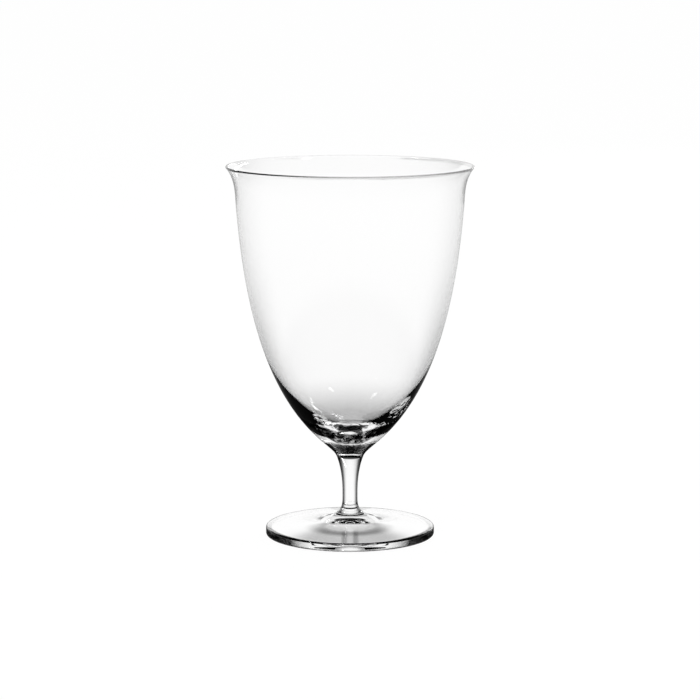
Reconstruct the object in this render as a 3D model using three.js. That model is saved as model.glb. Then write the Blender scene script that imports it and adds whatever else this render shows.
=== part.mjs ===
// A short-stemmed cocktail glass in clear hand-blown crystal: a thin bowl with a flared lip and a heavy
// base, a solid drawn stem and a round foot. The three pieces are separate gathers of glass, which meet
// face to face at two round welds. Millimetres, +Z up, origin in the middle of the foot's resting plane.
import * as THREE from "three";

// Foot: a disc with a flat resting ring, a hollow underneath that rises to a dimple in the middle, and a wide
// low boss that takes the stem
const FOOT_DIAMETER = 57.4;
const FOOT_EDGE_THICKNESS = 2.9;
const FOOT_LOWER_EDGE_RADIUS = 0.6;
const FOOT_UPPER_EDGE_RADIUS = 0.6;
const FOOT_RING_WIDTH = 1.6;
const FOOT_HOLLOW_DEPTH = 3.4;
const FOOT_DIMPLE_DIAMETER = 24.0;
const FOOT_CROWN_RISE = 1.93;
const FOOT_BOSS_DIAMETER = 22.0;
const FOOT_BOSS_RISE = 2.57;

// Stem: a solid waisted rod, flared at both welds
const STEM_LENGTH = 19.0;
const STEM_WAIST_DIAMETER = 5.1;
const STEM_LOWER_FLARE_LENGTH = 4.6;
const STEM_WAIST_LENGTH = 2.5;

// Welds: each diameter and lean is shared by the two pieces that meet there
const FOOT_WELD_DIAMETER = 8.8;
const FOOT_WELD_LEAN = 55;
const BOWL_WELD_DIAMETER = 8.7;
const BOWL_WELD_LEAN = 20;

// Bowl: neck, egg-shaped body, upright shoulder and flared lip, with one wall thickness from the heavy base
// up to the shoulder and a lip that thins towards its edge
const BOWL_NECK_RISE = 5.5;
const BOWL_BASE_DIAMETER = 18.6;
const BOWL_BASE_SLOPE = 40.7;
const BOWL_BODY_HEIGHT = 79.5;
const BOWL_SHOULDER_DIAMETER = 76.5;
const BOWL_SHOULDER_LEAN = 4.6;
const BOWL_LIP_HEIGHT = 14.6;
const BOWL_RIM_DIAMETER = 83.5;
const BOWL_LIP_LEAN = 40;
const BOWL_WALL = 0.9;
const BOWL_LIP_THICKNESS = 0.65;
const BOWL_FLOOR_RISE = 3.1;
const BOWL_HEAVY_BASE_HEIGHT = 30.1;

// How far each curve runs on along its end directions before it bends away
const FOOT_BOSS_PULL = 2.4;
const FOOT_DIMPLE_CENTRE_PULL = 3.0;
const FOOT_DIMPLE_EDGE_PULL = 5.0;
const STEM_LOWER_WELD_PULL = 1.4;
const STEM_LOWER_WAIST_PULL = 2.4;
const STEM_UPPER_WAIST_PULL = 5.5;
const STEM_UPPER_WELD_PULL = 2.6;
const NECK_WELD_PULL = 1.7;
const NECK_BASE_PULL = 5.3;
const BODY_BASE_PULL = 24.8;
const BODY_SHOULDER_PULL = 34.6;
const LIP_SHOULDER_PULL = 4.8;
const LIP_RIM_PULL = 5.2;
const FLOOR_SIDE_PULL = 23.2;
const FLOOR_CENTRE_PULL = 5.9;

// Facets
const TURN_SEGMENTS = 64;
const ROUND_EDGE_STEPS = 4;
const SHORT_CURVE_STEPS = 6;
const MEDIUM_CURVE_STEPS = 10;
const LONG_CURVE_STEPS = 18;

// Points closer than SAME_POINT are one point, and a height is found on a curve in HALVINGS steps
const SAME_POINT = 1e-6;
const HALVINGS = 40;

// A direction in the half section, leaning away from upright by an angle in degrees (x is the radius)
function leaning(degrees) {
  const angle = THREE.MathUtils.degToRad(degrees);
  return new THREE.Vector2(Math.sin(angle), Math.cos(angle));
}

function along(start, direction, distance) {
  return start.clone().addScaledVector(direction, distance);
}

// A cubic curve that leaves start along startDirection and arrives at end along endDirection
function sweep(start, startDirection, startPull, end, endDirection, endPull) {
  return new THREE.CubicBezierCurve(
    start,
    along(start, startDirection, startPull),
    along(end, endDirection, -endPull),
    end,
  );
}

// A round edge, turning left from one angle in degrees to another
function roundEdge(centre, radius, fromDegrees, toDegrees) {
  const from = THREE.MathUtils.degToRad(fromDegrees);
  const to = THREE.MathUtils.degToRad(toDegrees);
  return new THREE.EllipseCurve(centre.x, centre.y, radius, radius, from, to);
}

// Points of curves laid end to end, without the doubled point where two of them meet
function join(...stretches) {
  const points = [];
  for (const stretch of stretches) {
    const joined = points.length > 0 && points.at(-1).distanceTo(stretch[0]) < SAME_POINT;
    points.push(...stretch.slice(joined ? 1 : 0));
  }
  return points;
}

// The points of a curve from one parameter to another, moved to its left by a distance that changes gently
function offsetPoints(curve, fromDistance, toDistance, from, to, steps) {
  const points = [];
  for (let step = 0; step <= steps; step += 1) {
    const t = THREE.MathUtils.lerp(from, to, step / steps);
    const gently = THREE.MathUtils.smoothstep(step, 0, steps);
    const distance = THREE.MathUtils.lerp(fromDistance, toDistance, gently);
    const tangent = curve.getTangent(t);
    points.push(along(curve.getPoint(t), new THREE.Vector2(-tangent.y, tangent.x), distance));
  }
  return points;
}

// The parameter at which a rising curve passes a height
function parameterAtHeight(curve, height) {
  let [low, high] = [0, 1];
  for (let halving = 0; halving < HALVINGS; halving += 1) {
    const middle = (low + high) / 2;
    if (curve.getPoint(middle).y < height) low = middle;
    else high = middle;
  }
  return (low + high) / 2;
}

function clearCrystal() {
  return new THREE.MeshStandardMaterial({
    color: 0xf4f6f6,
    roughness: 0.02,
    metalness: 0,
    transparent: true,
    opacity: 0.35,
  });
}

// One piece of the glass: its half section, given from the axis round to the axis, turned about +Z
function turnedPiece(name, profile, height) {
  const geometry = new THREE.LatheGeometry(profile, TURN_SEGMENTS);
  geometry.rotateX(Math.PI / 2);
  const piece = new THREE.Mesh(geometry, clearCrystal());
  piece.name = name;
  piece.position.z = height;
  return piece;
}

const footHeight = FOOT_EDGE_THICKNESS + FOOT_CROWN_RISE + FOOT_BOSS_RISE;

function footProfile() {
  const radius = FOOT_DIAMETER / 2;
  const lowerEdge = Math.min(FOOT_LOWER_EDGE_RADIUS, FOOT_EDGE_THICKNESS / 2);
  const upperEdge = Math.min(FOOT_UPPER_EDGE_RADIUS, FOOT_EDGE_THICKNESS / 2);
  const ringOuter = new THREE.Vector2(radius - lowerEdge, 0);
  const ringInner = new THREE.Vector2(ringOuter.x - FOOT_RING_WIDTH, 0);
  const hollowTop = new THREE.Vector2(0, FOOT_HOLLOW_DEPTH);
  const bossEdge = new THREE.Vector2(FOOT_BOSS_DIAMETER / 2, FOOT_EDGE_THICKNESS + FOOT_CROWN_RISE);
  const upperCentre = new THREE.Vector2(radius - upperEdge, FOOT_EDGE_THICKNESS - upperEdge);
  const weld = new THREE.Vector2(FOOT_WELD_DIAMETER / 2, footHeight);

  const crownSlope = Math.atan2(FOOT_CROWN_RISE, upperCentre.x - bossEdge.x);
  const inward = new THREE.Vector2(-Math.cos(crownSlope), Math.sin(crownSlope));
  const outward = new THREE.Vector2(1, 0);
  const downCrown = inward.clone().negate();
  const hollowWidth = ringInner.x - FOOT_DIMPLE_DIAMETER / 2;
  const dimpleEdge = along(ringInner, inward, hollowWidth / Math.cos(crownSlope));
  const dimple = sweep(
    hollowTop, outward, FOOT_DIMPLE_CENTRE_PULL,
    dimpleEdge, downCrown, FOOT_DIMPLE_EDGE_PULL,
  );
  const lowerRound = roundEdge(new THREE.Vector2(ringOuter.x, lowerEdge), lowerEdge, -90, 0);
  const upperRound = roundEdge(upperCentre, upperEdge, 0, 90 - THREE.MathUtils.radToDeg(crownSlope));
  const boss = sweep(bossEdge, inward, FOOT_BOSS_PULL, weld, leaning(-FOOT_WELD_LEAN), FOOT_BOSS_PULL);
  return join(
    dimple.getPoints(SHORT_CURVE_STEPS),
    [ringInner],
    lowerRound.getPoints(ROUND_EDGE_STEPS),
    upperRound.getPoints(ROUND_EDGE_STEPS),
    boss.getPoints(SHORT_CURVE_STEPS),
    [new THREE.Vector2(0, footHeight)],
  );
}

function stemProfile() {
  const footWeld = new THREE.Vector2(FOOT_WELD_DIAMETER / 2, 0);
  const waistFoot = new THREE.Vector2(STEM_WAIST_DIAMETER / 2, STEM_LOWER_FLARE_LENGTH);
  const waistTop = new THREE.Vector2(waistFoot.x, waistFoot.y + STEM_WAIST_LENGTH);
  const bowlWeld = new THREE.Vector2(BOWL_WELD_DIAMETER / 2, STEM_LENGTH);
  const up = leaning(0);

  const lowerFlare = sweep(
    footWeld, leaning(-FOOT_WELD_LEAN), STEM_LOWER_WELD_PULL,
    waistFoot, up, STEM_LOWER_WAIST_PULL,
  );
  const upperFlare = sweep(
    waistTop, up, STEM_UPPER_WAIST_PULL,
    bowlWeld, leaning(BOWL_WELD_LEAN), STEM_UPPER_WELD_PULL,
  );
  return join(
    [new THREE.Vector2(0, 0)],
    lowerFlare.getPoints(SHORT_CURVE_STEPS),
    upperFlare.getPoints(MEDIUM_CURVE_STEPS),
    [new THREE.Vector2(0, STEM_LENGTH)],
  );
}

function bowlProfile() {
  const baseSlope = leaning(90 - BOWL_BASE_SLOPE);
  const shoulderLean = leaning(BOWL_SHOULDER_LEAN);
  const lipLean = leaning(BOWL_LIP_LEAN);
  const shoulderHeight = BOWL_NECK_RISE + BOWL_BODY_HEIGHT;
  const rimHeight = shoulderHeight + BOWL_LIP_HEIGHT;
  const lipRadius = BOWL_LIP_THICKNESS / 2;

  const weld = new THREE.Vector2(BOWL_WELD_DIAMETER / 2, 0);
  const base = new THREE.Vector2(BOWL_BASE_DIAMETER / 2, BOWL_NECK_RISE);
  const shoulder = new THREE.Vector2(BOWL_SHOULDER_DIAMETER / 2, shoulderHeight);
  const lipCentre = new THREE.Vector2(BOWL_RIM_DIAMETER / 2 - lipRadius, rimHeight - lipRadius);
  const lipOuter = along(lipCentre, leaning(90 + BOWL_LIP_LEAN), lipRadius);
  const floor = new THREE.Vector2(0, BOWL_NECK_RISE + BOWL_FLOOR_RISE);

  const neck = sweep(weld, leaning(BOWL_WELD_LEAN), NECK_WELD_PULL, base, baseSlope, NECK_BASE_PULL);
  const body = sweep(base, baseSlope, BODY_BASE_PULL, shoulder, shoulderLean, BODY_SHOULDER_PULL);
  const lip = sweep(shoulder, shoulderLean, LIP_SHOULDER_PULL, lipOuter, lipLean, LIP_RIM_PULL);
  const lipRound = roundEdge(lipCentre, lipRadius, -BOWL_LIP_LEAN, 180 - BOWL_LIP_LEAN);

  const heavyBase = parameterAtHeight(body, BOWL_NECK_RISE + BOWL_HEAVY_BASE_HEIGHT);
  const innerLip = offsetPoints(lip, BOWL_LIP_THICKNESS, BOWL_WALL, 1, 0, SHORT_CURVE_STEPS);
  const innerWall = offsetPoints(body, BOWL_WALL, BOWL_WALL, 1, heavyBase, MEDIUM_CURVE_STEPS);
  const downWall = body.getTangent(heavyBase).negate();
  const inward = new THREE.Vector2(-1, 0);
  const innerFloor = sweep(innerWall.at(-1), downWall, FLOOR_SIDE_PULL, floor, inward, FLOOR_CENTRE_PULL);
  return join(
    [new THREE.Vector2(0, 0)],
    neck.getPoints(SHORT_CURVE_STEPS),
    body.getPoints(LONG_CURVE_STEPS),
    lip.getPoints(SHORT_CURVE_STEPS),
    lipRound.getPoints(ROUND_EDGE_STEPS),
    innerLip,
    innerWall,
    innerFloor.getPoints(MEDIUM_CURVE_STEPS),
  );
}

const glass = new THREE.Group();
glass.add(turnedPiece("foot", footProfile(), 0));
glass.add(turnedPiece("stem", stemProfile(), footHeight));
glass.add(turnedPiece("bowl", bowlProfile(), footHeight + STEM_LENGTH));

export default glass;
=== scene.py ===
"""A clear cocktail glass: a bowl, a stem and a foot of crystal, fused at two welds, on a white floor."""

import math

import bpy
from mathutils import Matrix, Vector


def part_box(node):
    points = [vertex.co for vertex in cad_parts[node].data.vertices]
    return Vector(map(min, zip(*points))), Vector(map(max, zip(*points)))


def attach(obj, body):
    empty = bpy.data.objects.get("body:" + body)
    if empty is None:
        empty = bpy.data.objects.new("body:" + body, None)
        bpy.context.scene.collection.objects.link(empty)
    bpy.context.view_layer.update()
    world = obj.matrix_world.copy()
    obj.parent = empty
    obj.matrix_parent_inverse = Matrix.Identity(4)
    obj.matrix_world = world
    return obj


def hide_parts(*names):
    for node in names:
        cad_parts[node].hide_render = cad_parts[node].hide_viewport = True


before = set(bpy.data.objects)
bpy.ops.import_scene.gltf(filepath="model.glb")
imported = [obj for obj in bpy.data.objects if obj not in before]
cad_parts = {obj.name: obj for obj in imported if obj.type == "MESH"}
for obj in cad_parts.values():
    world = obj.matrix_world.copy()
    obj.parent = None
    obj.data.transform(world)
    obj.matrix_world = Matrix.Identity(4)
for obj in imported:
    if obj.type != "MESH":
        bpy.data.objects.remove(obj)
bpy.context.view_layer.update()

# Sizes that the frame gives, in metres, as every size below is
foot_low, foot_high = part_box("foot")
stem_low, stem_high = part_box("stem")
bowl_low, bowl_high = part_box("bowl")
FOOT_RADIUS = foot_high.x
FOOT_WELD_HEIGHT = stem_low.z
FOOT_WELD_RADIUS = stem_high.x
BOWL_WELD_HEIGHT = stem_high.z
RIM_RADIUS = bowl_high.x
RIM_HEIGHT = bowl_high.z

# Foot; a pull is how far a curve runs on along its end's direction, and a lean or slope is in degrees
FOOT_EDGE = 0.0029
FOOT_LOWER_ROUND = 0.0006
FOOT_UPPER_ROUND = 0.0006
FOOT_RING = 0.0016
FOOT_HOLLOW = 0.0034
DIMPLE_RADIUS = 0.0120
DIMPLE_CENTRE_PULL = 0.0030
DIMPLE_EDGE_PULL = 0.0050
BOSS_RADIUS = 0.0110
BOSS_HEIGHT = 0.00483
BOSS_PULL = 0.0024
FOOT_WELD_LEAN = 55

# Stem
WAIST_RADIUS = 0.00255
WAIST_LOW = 0.0120
WAIST_HIGH = 0.0145
LOWER_WELD_PULL = 0.0014
LOWER_WAIST_PULL = 0.0024
UPPER_WAIST_PULL = 0.0055
UPPER_WELD_PULL = 0.0026

# Bowl
BOWL_WELD_RADIUS = 0.00435
BOWL_WELD_LEAN = 20
BASE_RADIUS = 0.0093
BASE_HEIGHT = 0.0319
BASE_SLOPE = 40.7
SHOULDER_RADIUS = 0.03825
SHOULDER_HEIGHT = 0.1114
SHOULDER_LEAN = 4.6
LIP_LEAN = 40
WALL = 0.0009
LIP_EDGE = 0.00065
CUP_FLOOR = 0.0350
HEAVY_BASE_TOP = 0.0620
NECK_WELD_PULL = 0.0017
NECK_BASE_PULL = 0.0053
BODY_BASE_PULL = 0.0248
BODY_SHOULDER_PULL = 0.0346
LIP_SHOULDER_PULL = 0.0048
LIP_RIM_PULL = 0.0052
FLOOR_SIDE_PULL = 0.0232
FLOOR_CENTRE_PULL = 0.0059

# How finely the pieces are turned, and each stretch of their sections drawn
TURN_STEPS = 256
DIMPLE_STEPS = 24
HOLLOW_STEPS = 8
RING_STEPS = 4
LOWER_ROUND_STEPS = 10
FOOT_SIDE_STEPS = 3
UPPER_ROUND_STEPS = 12
FOOT_TOP_STEPS = 14
BOSS_STEPS = 20
LOWER_FLARE_STEPS = 20
WAIST_STEPS = 6
UPPER_FLARE_STEPS = 32
NECK_STEPS = 24
BODY_STEPS = 72
LIP_STEPS = 24
LIP_ROUND_STEPS = 14
WALL_STEPS = 44
CUP_FLOOR_STEPS = 48
HEIGHT_HALVINGS = 40

# How close points merge, and faces count as at a weld or as flat; a crease's angle is in radians
MERGE_DISTANCE = 1e-7
WELD_REACH = 1e-6
FLAT_REACH = 1e-4
CREASE_ANGLE = 0.6

# A weld height below the floor, for the end of a piece that isn't welded
NO_WELD = -1.0

# Crystal: how much it bends and mirrors light, and how much of a lamp's light goes through to its shadow
CRYSTAL_IOR = 1.5
MIRROR = 0.35
LAMP_THROUGH = 0.9

# Painted shade of each piece seen edge on, and between which amounts of turning away from the eye it sets in
FOOT_EDGE_DARK = 0.998
FOOT_EDGE_TURN = 0.08, 0.32
FOOT_FLAT_TILT = 0.95
FOOT_SIDE_TILT = 0.6
STEM_EDGE_DARK = 0.97
STEM_EDGE_TURN = 0.08, 0.42
BOWL_EDGE_TURN = 0.3, 0.9
WALL_EDGE_DARK = 0.12
WALL_EDGE_TOP = 0.115
BASE_EDGE_DARK = 0.5
BASE_EDGE_LOW = 0.040
NECK_EDGE_DARK = 0.47
NECK_EDGE_TOP = 0.033
NECK_EDGE_LOW = 0.028

# Shade along the edges of the stem, which deepens towards the bowl
STEM_SHADE = 0.85
STEM_SHADE_TURN = 0.30, 0.62
STEM_SHADE_LOW = 0.016
STEM_SHADE_TOP = 0.0255

# Painted shade that greys the cup's floor, over the thick glass
CUP_GREY = 0.68
CUP_GREY_TOP = 0.051
CUP_GREY_LOW = 0.036
CUP_GREY_TILT = 0.2

# Painted shade in the heavy base: a mottled heart, and the dark band over it
HEART_LIGHT = 0.60
HEART_DARK = 0.97
HEART_LOW = 0.0325
HEART_TOP = 0.0374
HEART_HALF = 0.0028
HEART_SPREAD = 1.7
HEART_RISE = 0.25
HEART_FADE = 0.0009
MOTTLE_SCALE = 700.0
MOTTLE_DETAIL = 2.0
MOTTLE_LIGHT = 0.40
MOTTLE_DARK = 0.52
BAND_DARK = 0.85
BAND_LOW = 0.0384
BAND_TOP = 0.0407
BAND_HALF = 0.0036
BAND_FADE = 0.0005

# The shade of the neck, down to the light ring over the weld, and the dark band under that ring
NECK_SHADE = 0.6
NECK_SHADE_TOP = 0.0320
RING_TOP = 0.0283
RING_LOW = 0.0281
UNDER_RING_DARK = 0.92
UNDER_RING_LOW = 0.0263

# How far the outside has to face down before the shade of the heavy base starts, and is full
BASE_TILT = -0.1, -0.3

# The waves in the heavy base, and the rippled spots on its right and its left side
WAVE_SCALE = 220.0
WAVE_DETAIL = 1.0
WAVE_CURL = 1.5
WAVE_TOP = 0.048
WAVE_FULL = 0.036
WAVE_NECK = 0.0275
WAVE_NECK_FADE = 0.004
WAVE_LIFT = 0.00006
RIGHT_SPOT = 0.0165, -0.0060, 0.0430
RIGHT_REACH = 0.0090
RIGHT_LIFT = 0.0003
LEFT_SPOT = -0.0108, -0.0118, 0.0385
LEFT_REACH = 0.0050
LEFT_LIFT = 0.0006
SPOT_CORE = 0.001

# Painted light at the lip's edge: how clear it is, across the glass from left to right
LIP_CLEAR = 0.5
LIP_CLEAR_LEFT = -0.030
LIP_CLEAR_FROM = 0.005
LIP_CLEAR_TO = 0.018
LIP_CLEAR_RIGHT = 0.042
LIP_CLEAR_RIGHT_SHARE = 0.5

# Painted shadow on the floor seen through glass: greyer in front, a ring under the boss, two lines before
# the stem
UNDER_FOOT = 0.75
SHADE_FORWARD = 0.022
SHADE_INNER = 0.012
SHADE_OUTER = 0.030
BOSS_RING = 0.0108
BOSS_RING_LEVEL = 0.45
BOSS_RING_INNER = 0.0002
BOSS_RING_OUTER = 0.0055
STEM_LINE = 0.0019
STEM_LINE_SHADE = 0.42
STEM_LINE_INNER = 0.0003
STEM_LINE_OUTER = 0.0014
STEM_LINE_START = -0.004
STEM_LINE_FULL = -0.010

# The floor itself, and how light the glass mirrors it close by and far off, which is painted shade
FLOOR_REACH = 30.0
FLOOR_GREY = 0.9
CAMERA_WHITE = 0.93
NEAR_FLOOR = 0.03
NEAR_FLOOR_REACH = 0.08
FAR_FLOOR = 0.65
FAR_FLOOR_REACH = 0.45

# The surround that glass shows: white low down, a white card behind that stands higher, dark overhead
OVERHEAD = 0.01
SKY_WHITE = 0.22
SKY_DARK = 0.36
CARD_WHITE = 0.36
CARD_DARK = 0.45
LEAST_BACK = 0.01

# The even light from all round on the floor, and how far off the softboxes stand
AMBIENT = 1.0
LAMP_DISTANCE = 1.5

# Camera, from the ellipses of the rim and the foot; the pitch is in degrees, the lens and sensor in mm
CAMERA_DISTANCE = 0.8937
CAMERA_HEIGHT = 0.2051
CAMERA_PITCH = 9.01
CAMERA_LENS = 137.4
SENSOR = 36.0


def leaning(degrees):
    """A way in the half section that leans outwards from upright."""
    return Vector((math.sin(math.radians(degrees)), math.cos(math.radians(degrees))))


class Sweep:
    """A cubic curve of the half section, from its ends, its ways there and how far it runs along them."""

    def __init__(self, start, leaves, leave_pull, end, arrives, arrive_pull):
        self.knots = start, start + leaves * leave_pull, end - arrives * arrive_pull, end

    def point(self, t):
        a, b, c, d = self.knots
        s = 1 - t
        return a * s**3 + b * (3 * s * s * t) + c * (3 * s * t * t) + d * t**3

    def heading(self, t):
        a, b, c, d = self.knots
        s = 1 - t
        return ((b - a) * s * s + (c - b) * (2 * s * t) + (d - c) * t * t).normalized()

    def points(self, steps, start=0.0, end=1.0, left=0.0, last_left=None):
        """Points from one parameter to another, moved left by a distance that may change gently."""
        last_left = left if last_left is None else last_left
        found = []
        for step in range(steps + 1):
            share = step / steps
            t = start + (end - start) * share
            way = self.heading(t)
            moved = left + (last_left - left) * share * share * (3 - 2 * share)
            found.append(self.point(t) + Vector((-way.y, way.x)) * moved)
        return found

    def at_height(self, height):
        """The parameter at which a rising curve passes a height."""
        low, high = 0.0, 1.0
        for _ in range(HEIGHT_HALVINGS):
            middle = (low + high) / 2
            low, high = (middle, high) if self.point(middle).y < height else (low, middle)
        return low


def round_edge(centre, radius, start, end, steps):
    """Points of an arc that turns left from one angle in degrees to another."""
    angles = [math.radians(start + (end - start) * step / steps) for step in range(steps + 1)]
    return [centre + Vector((math.cos(a), math.sin(a))) * radius for a in angles]


def straight(start, end, steps=1):
    return [start.lerp(end, step / steps) for step in range(steps + 1)]


def joined(*stretches):
    """Stretches laid end to end, without the doubled points where they meet."""
    points = []
    for stretch in stretches:
        for point in stretch:
            if not points or (point - points[-1]).length > MERGE_DISTANCE:
                points.append(point)
    return points


def foot_section():
    """From the dimple under the foot, out round its edge and up over the boss to the weld."""
    outward = Vector((1, 0))
    ring_outer = Vector((FOOT_RADIUS - FOOT_LOWER_ROUND, 0))
    ring_inner = ring_outer - outward * FOOT_RING
    upper_centre = Vector((FOOT_RADIUS - FOOT_UPPER_ROUND, FOOT_EDGE - FOOT_UPPER_ROUND))
    boss = Vector((BOSS_RADIUS, BOSS_HEIGHT))
    weld = Vector((FOOT_WELD_RADIUS, FOOT_WELD_HEIGHT))
    slope = math.atan2(BOSS_HEIGHT - FOOT_EDGE, upper_centre.x - boss.x)
    inward = Vector((-math.cos(slope), math.sin(slope)))
    dimple_edge = ring_inner + inward * ((ring_inner.x - DIMPLE_RADIUS) / math.cos(slope))
    dimple = Sweep(
        Vector((0, FOOT_HOLLOW)), outward, DIMPLE_CENTRE_PULL,
        dimple_edge, -inward, DIMPLE_EDGE_PULL,
    )
    lower_centre = ring_outer + Vector((0, FOOT_LOWER_ROUND))
    lower = round_edge(lower_centre, FOOT_LOWER_ROUND, -90, 0, LOWER_ROUND_STEPS)
    upper = round_edge(upper_centre, FOOT_UPPER_ROUND, 0, 90 - math.degrees(slope), UPPER_ROUND_STEPS)
    rise = Sweep(boss, inward, BOSS_PULL, weld, leaning(-FOOT_WELD_LEAN), BOSS_PULL)
    return joined(
        dimple.points(DIMPLE_STEPS),
        straight(dimple_edge, ring_inner, HOLLOW_STEPS),
        straight(ring_inner, ring_outer, RING_STEPS),
        lower,
        straight(lower[-1], upper[0], FOOT_SIDE_STEPS),
        upper,
        straight(upper[-1], boss, FOOT_TOP_STEPS),
        rise.points(BOSS_STEPS),
        straight(weld, Vector((0, FOOT_WELD_HEIGHT))),
    )


def stem_section():
    """From the lower weld up past the waist to the upper weld."""
    foot_weld = Vector((FOOT_WELD_RADIUS, FOOT_WELD_HEIGHT))
    waist_low = Vector((WAIST_RADIUS, WAIST_LOW))
    waist_high = Vector((WAIST_RADIUS, WAIST_HIGH))
    bowl_weld = Vector((BOWL_WELD_RADIUS, BOWL_WELD_HEIGHT))
    up = leaning(0)
    lower = Sweep(foot_weld, leaning(-FOOT_WELD_LEAN), LOWER_WELD_PULL, waist_low, up, LOWER_WAIST_PULL)
    upper = Sweep(waist_high, up, UPPER_WAIST_PULL, bowl_weld, leaning(BOWL_WELD_LEAN), UPPER_WELD_PULL)
    return joined(
        straight(Vector((0, FOOT_WELD_HEIGHT)), foot_weld),
        lower.points(LOWER_FLARE_STEPS),
        straight(waist_low, waist_high, WAIST_STEPS),
        upper.points(UPPER_FLARE_STEPS),
        straight(bowl_weld, Vector((0, BOWL_WELD_HEIGHT))),
    )


def bowl_section():
    """From the weld up the outside, round the lip, and down the inside to the middle of the cup's floor."""
    weld = Vector((BOWL_WELD_RADIUS, BOWL_WELD_HEIGHT))
    base = Vector((BASE_RADIUS, BASE_HEIGHT))
    shoulder = Vector((SHOULDER_RADIUS, SHOULDER_HEIGHT))
    lip_round = LIP_EDGE / 2
    lip_centre = Vector((RIM_RADIUS - lip_round, RIM_HEIGHT - lip_round))
    lip_outer = lip_centre + leaning(90 + LIP_LEAN) * lip_round
    base_way = leaning(90 - BASE_SLOPE)
    shoulder_way = leaning(SHOULDER_LEAN)
    neck = Sweep(weld, leaning(BOWL_WELD_LEAN), NECK_WELD_PULL, base, base_way, NECK_BASE_PULL)
    body = Sweep(base, base_way, BODY_BASE_PULL, shoulder, shoulder_way, BODY_SHOULDER_PULL)
    lip = Sweep(shoulder, shoulder_way, LIP_SHOULDER_PULL, lip_outer, leaning(LIP_LEAN), LIP_RIM_PULL)
    heavy = body.at_height(HEAVY_BASE_TOP)
    wall = body.points(WALL_STEPS, 1, heavy, WALL)
    cup_floor = Sweep(
        wall[-1], -body.heading(heavy), FLOOR_SIDE_PULL,
        Vector((0, CUP_FLOOR)), Vector((-1, 0)), FLOOR_CENTRE_PULL,
    )
    return joined(
        straight(Vector((0, BOWL_WELD_HEIGHT)), weld),
        neck.points(NECK_STEPS),
        body.points(BODY_STEPS),
        lip.points(LIP_STEPS),
        round_edge(lip_centre, lip_round, -LIP_LEAN, 180 - LIP_LEAN, LIP_ROUND_STEPS),
        lip.points(LIP_STEPS, 1, 0, LIP_EDGE, WALL),
        wall,
        cup_floor.points(CUP_FLOOR_STEPS),
    )


class Socket:
    """A node's output, whose arithmetic adds Math nodes to its tree."""

    def __init__(self, tree, output):
        self.tree = tree
        self.output = output

    def __abs__(self):
        return self.tree.maths("ABSOLUTE", self)

    def __add__(self, other):
        return self.tree.maths("ADD", self, other)

    def __radd__(self, other):
        return self.tree.maths("ADD", other, self)

    def __sub__(self, other):
        return self.tree.maths("SUBTRACT", self, other)

    def __rsub__(self, other):
        return self.tree.maths("SUBTRACT", other, self)

    def __mul__(self, other):
        return self.tree.maths("MULTIPLY", self, other)

    def __rmul__(self, other):
        return self.tree.maths("MULTIPLY", other, self)

    def __truediv__(self, other):
        return self.tree.maths("DIVIDE", self, other)

    def __rtruediv__(self, other):
        return self.tree.maths("DIVIDE", other, self)


class Tree:
    """A node tree, with one method that adds any node and short ways to add common ones."""

    def __init__(self, node_tree):
        self.node_tree = node_tree

    def node(self, kind, sockets=None, **settings):
        """Adds a node, makes its settings, then sets or links its inputs, and gives its outputs by name."""
        node = self.node_tree.nodes.new(kind)
        for name, value in settings.items():
            setattr(node, name, value)
        for name, value in (sockets or {}).items():
            if isinstance(value, Socket):
                self.node_tree.links.new(value.output, node.inputs[name])
            else:
                node.inputs[name].default_value = value
        return {output.name: Socket(self, output) for output in node.outputs if output.enabled}

    def maths(self, operation, first, second=0.0):
        return self.node("ShaderNodeMath", {0: first, 1: second}, operation=operation)["Value"]

    def smooth(self, value, start, end, low=0.0, high=1.0):
        """Goes gently from low to high while the value goes from start to end."""
        return self.node(
            "ShaderNodeMapRange",
            {"Value": value, "From Min": start, "From Max": end, "To Min": low, "To Max": high},
            interpolation_type="SMOOTHSTEP",
        )["Result"]

    def between(self, value, low, high, fade):
        """One while the value is between low and high, and fading to nothing at both."""
        return self.smooth(value, low, low + fade) * self.smooth(value, high, high - fade)

    def parts(self, vector):
        return self.node("ShaderNodeSeparateXYZ", {"Vector": vector})

    def distance(self, place, spot):
        return self.node("ShaderNodeVectorMath", {0: place, 1: spot}, operation="DISTANCE")["Value"]

    def place(self):
        return self.node("ShaderNodeTexCoord")["Object"]

    def height(self):
        return self.parts(self.place())["Z"]

    def turned_away(self):
        """How far the surface is turned away from the eye: none face on, one edge on."""
        return self.node("ShaderNodeLayerWeight", {"Blend": 0.5})["Facing"]

    def mixed(self, share, shader, other):
        return self.node("ShaderNodeMixShader", {0: share, 1: shader, 2: other})["Shader"]


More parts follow.
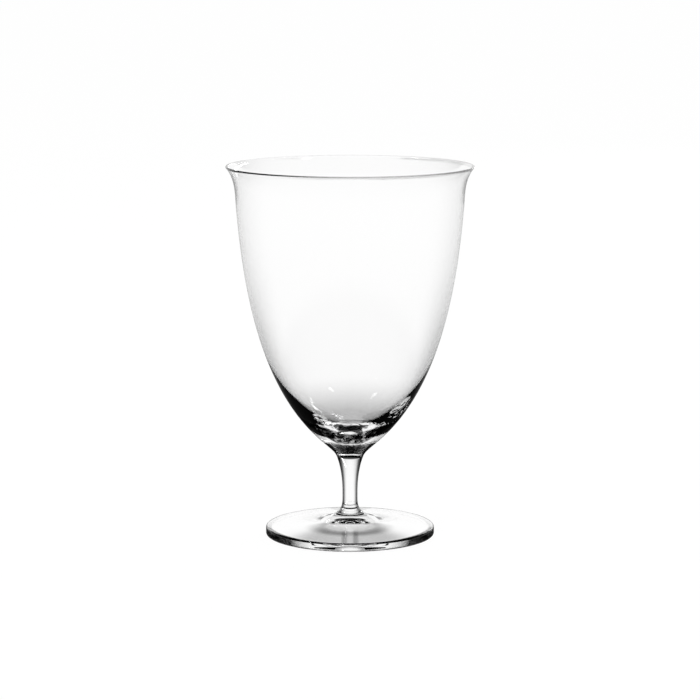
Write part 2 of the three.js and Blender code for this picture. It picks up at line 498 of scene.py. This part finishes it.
def turning_tree():
    """Turns a row of section points about Z into a closed, smooth piece, with its weld faces set apart."""
    group = bpy.data.node_groups.new("turn about the stem", "GeometryNodeTree")
    group.is_modifier = True
    shape = group.interface
    shape.new_socket("Section", in_out="INPUT", socket_type="NodeSocketGeometry")
    shape.new_socket("Turn Steps", in_out="INPUT", socket_type="NodeSocketInt")
    shape.new_socket("Lower Weld", in_out="INPUT", socket_type="NodeSocketFloat")
    shape.new_socket("Upper Weld", in_out="INPUT", socket_type="NodeSocketFloat")
    shape.new_socket("Crystal", in_out="INPUT", socket_type="NodeSocketMaterial")
    shape.new_socket("Weld", in_out="INPUT", socket_type="NodeSocketMaterial")
    shape.new_socket("Piece", in_out="OUTPUT", socket_type="NodeSocketGeometry")
    tree = Tree(group)
    given = tree.node("NodeGroupInput")

    # A grid with a row for each section point and a column for each step of the turn, and one more to close
    # it; the half keeps rounding from taking a point into the row before
    rings = tree.node(
        "GeometryNodeAttributeDomainSize", {"Geometry": given["Section"]}, component="MESH"
    )["Point Count"]
    spokes = given["Turn Steps"] + 1
    grid = tree.node("GeometryNodeMeshGrid", {"Vertices X": rings, "Vertices Y": spokes})["Mesh"]
    index = tree.node("GeometryNodeInputIndex")["Index"]
    ring = tree.maths("FLOOR", (index + 0.5) / spokes)
    spoke = index - ring * spokes
    place = tree.node("GeometryNodeInputPosition")["Position"]
    section = tree.node(
        "GeometryNodeSampleIndex",
        {"Geometry": given["Section"], "Value": place, "Index": ring},
        data_type="FLOAT_VECTOR",
        domain="POINT",
    )["Value"]
    turned = tree.node(
        "ShaderNodeVectorRotate",
        {"Vector": section, "Angle": spoke * -math.tau / given["Turn Steps"]},
        rotation_type="Z_AXIS",
    )["Vector"]
    piece = tree.node("GeometryNodeSetPosition", {"Geometry": grid, "Position": turned})["Geometry"]
    piece = tree.node(
        "GeometryNodeMergeByDistance", {"Geometry": piece, "Distance": MERGE_DISTANCE}
    )["Geometry"]

    def close(value, target, reach):
        return tree.maths("LESS_THAN", abs(value - target), reach)

    # A weld face is flat and lies at a weld's height
    height = tree.parts(place)["Z"]
    tilt = tree.parts(tree.node("GeometryNodeInputNormal")["Normal"])["Z"]
    at_weld = tree.maths(
        "MAXIMUM",
        close(height, given["Lower Weld"], WELD_REACH),
        close(height, given["Upper Weld"], WELD_REACH),
    )
    weld_faces = at_weld * close(abs(tilt), 1.0, FLAT_REACH)

    angle = tree.node("GeometryNodeInputMeshEdgeAngle")["Unsigned Angle"]
    piece = tree.node(
        "GeometryNodeSetShadeSmooth", {"Geometry": piece, "Shade Smooth": True}, domain="FACE"
    )["Geometry"]
    creases = tree.maths("GREATER_THAN", angle, CREASE_ANGLE)
    piece = tree.node(
        "GeometryNodeSetShadeSmooth",
        {"Geometry": piece, "Selection": creases, "Shade Smooth": False},
        domain="EDGE",
    )["Geometry"]
    piece = tree.node("GeometryNodeRealizeInstances", {"Geometry": piece})["Geometry"]
    piece = tree.node(
        "GeometryNodeSetMaterial", {"Geometry": piece, "Material": given["Crystal"]}
    )["Geometry"]
    piece = tree.node(
        "GeometryNodeSetMaterial",
        {"Geometry": piece, "Selection": weld_faces, "Material": given["Weld"]},
    )["Geometry"]
    tree.node("NodeGroupOutput", {"Piece": piece})
    return group


def turned_piece(name, section, turning, lower_weld, upper_weld, crystal, weld):
    """A piece turned from its half section, as a plain mesh in its place."""
    mesh = bpy.data.meshes.new(name)
    mesh.from_pydata([(point.x, 0.0, point.y) for point in section], [], [])
    piece = bpy.data.objects.new(name, mesh)
    bpy.context.scene.collection.objects.link(piece)
    modifier = piece.modifiers.new("turn", "NODES")
    modifier.node_group = turning
    sockets = {s.name: s.identifier for s in turning.interface.items_tree if s.in_out == "INPUT"}
    modifier[sockets["Turn Steps"]] = TURN_STEPS
    modifier[sockets["Lower Weld"]] = lower_weld
    modifier[sockets["Upper Weld"]] = upper_weld
    modifier[sockets["Crystal"]] = crystal
    modifier[sockets["Weld"]] = weld
    evaluated = piece.evaluated_get(bpy.context.evaluated_depsgraph_get())
    turned = bpy.data.meshes.new_from_object(evaluated)
    # The first material slot is the bare section's own, and is empty
    turned.materials.pop(index=0)
    piece.modifiers.clear()
    piece.data = turned
    turned.name = name
    bpy.data.meshes.remove(mesh)
    return piece


def new_material(name):
    material = bpy.data.materials.new(name)
    material.use_nodes = True
    material.node_tree.nodes.clear()
    return material, Tree(material.node_tree)


def grey(level):
    return level, level, level, 1.0


def crystal_material(name, edge_turn, edge_shade, grey_shade=None, waves=None, lip=None, shade=None):
    """Clear crystal with painted shade where it is seen edge on; it lets lamps through, so its shadow is
    light.
    """
    material, tree = new_material(name)
    level = 1 - tree.smooth(tree.turned_away(), *edge_turn) * edge_shade(tree)
    # Painted shade that greys the base colour, where a piece has it
    if grey_shade:
        level = level * grey_shade(tree)
    sockets = {
        "Base Color": tree.node("ShaderNodeCombineColor", {0: level, 1: level, 2: level})["Color"],
        "Roughness": 0.0,
        "IOR": CRYSTAL_IOR,
        "Transmission Weight": 1.0,
        "Specular Tint": grey(MIRROR),
    }
    if waves:
        sockets["Normal"] = waves(tree)
    seen = tree.node("ShaderNodeBsdfPrincipled", sockets)["BSDF"]
    # A see-through share at the lip's edge, as painted light
    if lip:
        clear = tree.node("ShaderNodeBsdfTransparent", {"Color": grey(1.0)})["BSDF"]
        seen = tree.mixed(lip(tree), seen, clear)
    if shade:
        dark = tree.node("ShaderNodeBsdfDiffuse", {"Color": grey(0.0)})["BSDF"]
        seen = tree.mixed(shade(tree), seen, dark)
    to_lamp = tree.node("ShaderNodeLightPath")["Is Shadow Ray"]
    lamp_side = tree.node("ShaderNodeBsdfTransparent", {"Color": grey(LAMP_THROUGH)})["BSDF"]
    tree.node("ShaderNodeOutputMaterial", {"Surface": tree.mixed(to_lamp, seen, lamp_side)})
    return material


def foot_edge_shade(tree):
    """Painted edge shade only on the upright side of the foot, not its flat faces."""
    normal = tree.node("ShaderNodeNewGeometry")["Normal"]
    return tree.smooth(abs(tree.parts(normal)["Z"]), FOOT_FLAT_TILT, FOOT_SIDE_TILT) * FOOT_EDGE_DARK


# The stem's painted edge shade, the same all along it
def stem_edge_shade(tree):
    return STEM_EDGE_DARK


def bowl_edge_shade(tree):
    """Painted edge shade: little in the thin wall, more down towards the heavy base, most at the neck."""
    height = tree.height()
    cup = tree.smooth(height, WALL_EDGE_TOP, BASE_EDGE_LOW, WALL_EDGE_DARK, BASE_EDGE_DARK)
    return cup + tree.smooth(height, NECK_EDGE_TOP, NECK_EDGE_LOW, 0.0, NECK_EDGE_DARK)


def cup_painted_shade(tree):
    """Clear, with painted shade that greys the cup's floor, over the thick glass under it."""
    surface = tree.node("ShaderNodeNewGeometry")
    upward = tree.parts(surface["Normal"])["Z"] * (1 - 2 * surface["Backfacing"])
    depth = tree.smooth(tree.height(), CUP_GREY_TOP, CUP_GREY_LOW)
    return 1 - depth * tree.smooth(upward, 0.0, CUP_GREY_TILT) * CUP_GREY


def base_waves(tree):
    """Waves that working by hand leaves in the heavy base, with a rippled spot on either side."""
    place = tree.place()
    height = tree.height()
    low = tree.smooth(height, WAVE_TOP, WAVE_FULL)
    low = low * tree.smooth(height, WAVE_NECK, WAVE_NECK + WAVE_NECK_FADE)
    right = tree.smooth(tree.distance(place, RIGHT_SPOT), RIGHT_REACH, SPOT_CORE)
    left = tree.smooth(tree.distance(place, LEFT_SPOT), LEFT_REACH, SPOT_CORE)
    lift = low * WAVE_LIFT + right * RIGHT_LIFT + left * LEFT_LIFT
    waves = tree.node(
        "ShaderNodeTexNoise",
        {"Vector": place, "Scale": WAVE_SCALE, "Detail": WAVE_DETAIL, "Distortion": WAVE_CURL},
    )["Fac"]
    return tree.node("ShaderNodeBump", {"Strength": 1.0, "Distance": 1.0, "Height": waves * lift})["Normal"]


def lip_painted_light(tree):
    """Painted light at the edge of the lip: clearer in front and to the right, where it draws a fainter
    line.
    """
    across = tree.parts(tree.place())["X"]
    lip = tree.smooth(tree.height(), RIM_HEIGHT - 2 * LIP_EDGE, RIM_HEIGHT - LIP_EDGE)
    left = tree.smooth(across, LIP_CLEAR_LEFT, LIP_CLEAR_FROM)
    right = tree.smooth(across, LIP_CLEAR_RIGHT, LIP_CLEAR_TO, LIP_CLEAR_RIGHT_SHARE, 1.0)
    return lip * left * right * LIP_CLEAR


def stem_shade(tree):
    """Dark along the stem's edges, towards the bowl."""
    outside = 1 - tree.node("ShaderNodeNewGeometry")["Backfacing"]
    upward = tree.smooth(tree.height(), STEM_SHADE_LOW, STEM_SHADE_TOP)
    return outside * upward * tree.smooth(tree.turned_away(), *STEM_SHADE_TURN) * STEM_SHADE


def base_shade(tree):
    """Painted shade outside the heavy base: a mottled heart, a band over it, the neck, and a band under its
    ring.
    """
    place = tree.place()
    aside = abs(tree.parts(place)["X"])
    height = tree.height()

    middle = tree.smooth(aside - HEART_SPREAD * (height - HEART_LOW), HEART_HALF + HEART_FADE, HEART_HALF)
    upper = tree.smooth(height - HEART_RISE * aside, HEART_TOP, HEART_TOP - HEART_FADE)
    lower = tree.smooth(height, HEART_LOW, HEART_LOW + HEART_FADE)
    mottle = tree.node(
        "ShaderNodeTexNoise", {"Vector": place, "Scale": MOTTLE_SCALE, "Detail": MOTTLE_DETAIL}
    )["Fac"]
    heart = middle * upper * lower * tree.smooth(mottle, MOTTLE_LIGHT, MOTTLE_DARK, HEART_LIGHT, HEART_DARK)

    band = tree.smooth(aside, BAND_HALF + HEART_FADE, BAND_HALF) * BAND_DARK
    band = band * tree.between(height, BAND_LOW, BAND_TOP, BAND_FADE)

    neck = tree.smooth(height, NECK_SHADE_TOP, NECK_SHADE_TOP - HEART_FADE) * NECK_SHADE
    neck = neck * tree.smooth(height, RING_TOP, RING_TOP + BAND_FADE)
    under_ring = tree.between(height, UNDER_RING_LOW, RING_LOW, BAND_FADE) * UNDER_RING_DARK

    surface = tree.node("ShaderNodeNewGeometry")
    downward = tree.smooth(tree.parts(surface["Normal"])["Z"], *BASE_TILT)
    return (1 - surface["Backfacing"]) * downward * (heart + band + neck + under_ring)


def weld_material():
    """The fused face inside the glass, where two pieces meet and nothing shows."""
    material, tree = new_material("fused weld")
    fused = tree.node("ShaderNodeBsdfPrincipled", {"IOR": CRYSTAL_IOR, "Alpha": 0.0})["BSDF"]
    tree.node("ShaderNodeOutputMaterial", {"Surface": fused})
    return material


def ray_kinds(tree):
    """Which rays arrive: from the camera, bent through glass, or mirrored from its outside."""
    path = tree.node("ShaderNodeLightPath")
    bent = path["Is Transmission Ray"]
    return path["Is Camera Ray"], bent, path["Is Glossy Ray"] * (1 - bent)


def floor_material():
    """White to the camera, with painted shadow under the foot where glass shows it, and painted shade close
    by in its mirrors.
    """
    material, tree = new_material("white floor")
    place = tree.place()
    parts = tree.parts(place)
    away = tree.distance(place, (0.0, 0.0, 0.0))

    # Painted shadow, shown only through glass: greyer in front of the foot, a ring under the boss, two lines
    # before the stem
    from_shade = tree.distance(place, (0.0, -SHADE_FORWARD, 0.0))
    front = tree.smooth(from_shade, SHADE_INNER, SHADE_OUTER, UNDER_FOOT, 1.0)
    off_ring = abs(away - BOSS_RING)
    ring = tree.smooth(off_ring, BOSS_RING_INNER, BOSS_RING_OUTER, BOSS_RING_LEVEL, 1.0)
    off_line = abs(abs(parts["X"]) - STEM_LINE)
    lines = tree.smooth(off_line, STEM_LINE_INNER, STEM_LINE_OUTER, STEM_LINE_SHADE, 0.0)
    lines = lines * tree.smooth(parts["Y"], STEM_LINE_START, STEM_LINE_FULL)
    through = front * ring * (1 - lines)
    # Painted shade on the floor in the glass's mirrors: dark close by, lighter further off
    reflected = tree.smooth(away, NEAR_FLOOR_REACH, FAR_FLOOR_REACH, NEAR_FLOOR, FAR_FLOOR)

    camera, bent, mirrored = ray_kinds(tree)
    level = camera + bent * through + mirrored * reflected
    white = tree.node("ShaderNodeEmission", {"Color": grey(1.0), "Strength": level})["Emission"]
    lit = tree.node("ShaderNodeBsdfDiffuse", {"Color": grey(FLOOR_GREY)})["BSDF"]
    # The rest of what the camera sees is lit, so the floor keeps the shadow
    share = camera * CAMERA_WHITE + bent + mirrored
    tree.node("ShaderNodeOutputMaterial", {"Surface": tree.mixed(share, lit, white)})
    return material


def white_floor():
    mesh = bpy.data.meshes.new("floor")
    corners = [(-1, -1), (1, -1), (1, 1), (-1, 1)]
    mesh.from_pydata([(x * FLOOR_REACH, y * FLOOR_REACH, 0) for x, y in corners], [], [(0, 1, 2, 3)])
    mesh.materials.append(floor_material())
    floor = bpy.data.objects.new("floor", mesh)
    bpy.context.scene.collection.objects.link(floor)


def studio_world():
    """White to the camera; to glass white low down and on the card behind, and dark overhead."""
    world = bpy.data.worlds.new("studio")
    bpy.context.scene.world = world
    world.use_nodes = True
    world.node_tree.nodes.clear()
    tree = Tree(world.node_tree)
    way = tree.parts(tree.node("ShaderNodeTexCoord")["Generated"])
    sides = tree.smooth(way["Z"], SKY_WHITE, SKY_DARK, 1.0, OVERHEAD)
    # A way that doesn't go back rises very steeply here, and so misses the card
    rise = way["Z"] / tree.maths("MAXIMUM", way["Y"], LEAST_BACK)
    card = tree.smooth(rise, CARD_WHITE, CARD_DARK, 1.0, OVERHEAD)
    surround = tree.maths("MAXIMUM", sides, card)
    camera, bent, mirrored = ray_kinds(tree)
    glass = bent + mirrored
    level = camera + glass * surround + (1 - camera - glass) * AMBIENT
    sky = tree.node("ShaderNodeBackground", {"Color": grey(1.0), "Strength": level})["Background"]
    tree.node("ShaderNodeOutputWorld", {"Surface": sky})


def softbox(name, around, up, width, length, power, turn=0):
    """A lamp that faces the glass, at degrees around it, leftwards from the camera, and degrees up."""
    lamp = bpy.data.lights.new(name, "AREA")
    lamp.shape = "RECTANGLE"
    lamp.size = width
    lamp.size_y = length
    lamp.energy = power
    light = bpy.data.objects.new(name, lamp)
    away = LAMP_DISTANCE * math.cos(math.radians(up))
    light.location = (
        -away * math.sin(math.radians(around)),
        -away * math.cos(math.radians(around)),
        LAMP_DISTANCE * math.sin(math.radians(up)),
    )
    light.rotation_euler = (-light.location).to_track_quat("-Z", "Y").to_euler()
    light.rotation_euler.rotate_axis("Z", math.radians(turn))
    light.visible_camera = False
    bpy.context.scene.collection.objects.link(light)


def photo_camera():
    camera = bpy.data.cameras.new("camera")
    camera.sensor_width = SENSOR
    camera.lens = CAMERA_LENS
    eye = bpy.data.objects.new("camera", camera)
    eye.location = (0, -CAMERA_DISTANCE, CAMERA_HEIGHT)
    eye.rotation_euler = (math.radians(90 - CAMERA_PITCH), 0, 0)
    bpy.context.scene.collection.objects.link(eye)
    bpy.context.scene.camera = eye


photo_camera()
bpy.context.scene.view_settings.view_transform = "Standard"
studio_world()
white_floor()
softbox("key softbox", around=98, up=58, width=0.11, length=0.15, power=3.0)
softbox("fill softbox", around=-68, up=63, width=0.10, length=0.16, power=3.0)
softbox("strip softbox", around=-150.5, up=18.5, width=0.04, length=1.1, power=1.3, turn=45)

turning = turning_tree()
weld = weld_material()
foot_crystal = crystal_material("foot crystal", FOOT_EDGE_TURN, foot_edge_shade)
stem_crystal = crystal_material("stem crystal", STEM_EDGE_TURN, stem_edge_shade, shade=stem_shade)
bowl_crystal = crystal_material(
    "bowl crystal", BOWL_EDGE_TURN, bowl_edge_shade,
    grey_shade=cup_painted_shade, waves=base_waves, lip=lip_painted_light, shade=base_shade,
)
pieces = {
    "foot": (foot_section(), NO_WELD, FOOT_WELD_HEIGHT, foot_crystal),
    "stem": (stem_section(), FOOT_WELD_HEIGHT, BOWL_WELD_HEIGHT, stem_crystal),
    "bowl": (bowl_section(), BOWL_WELD_HEIGHT, NO_WELD, bowl_crystal),
}
for node, (section, lower_weld, upper_weld, crystal) in pieces.items():
    piece = turned_piece(f"crystal_{node}", section, turning, lower_weld, upper_weld, crystal, weld)
    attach(piece, "root")
    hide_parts(node)
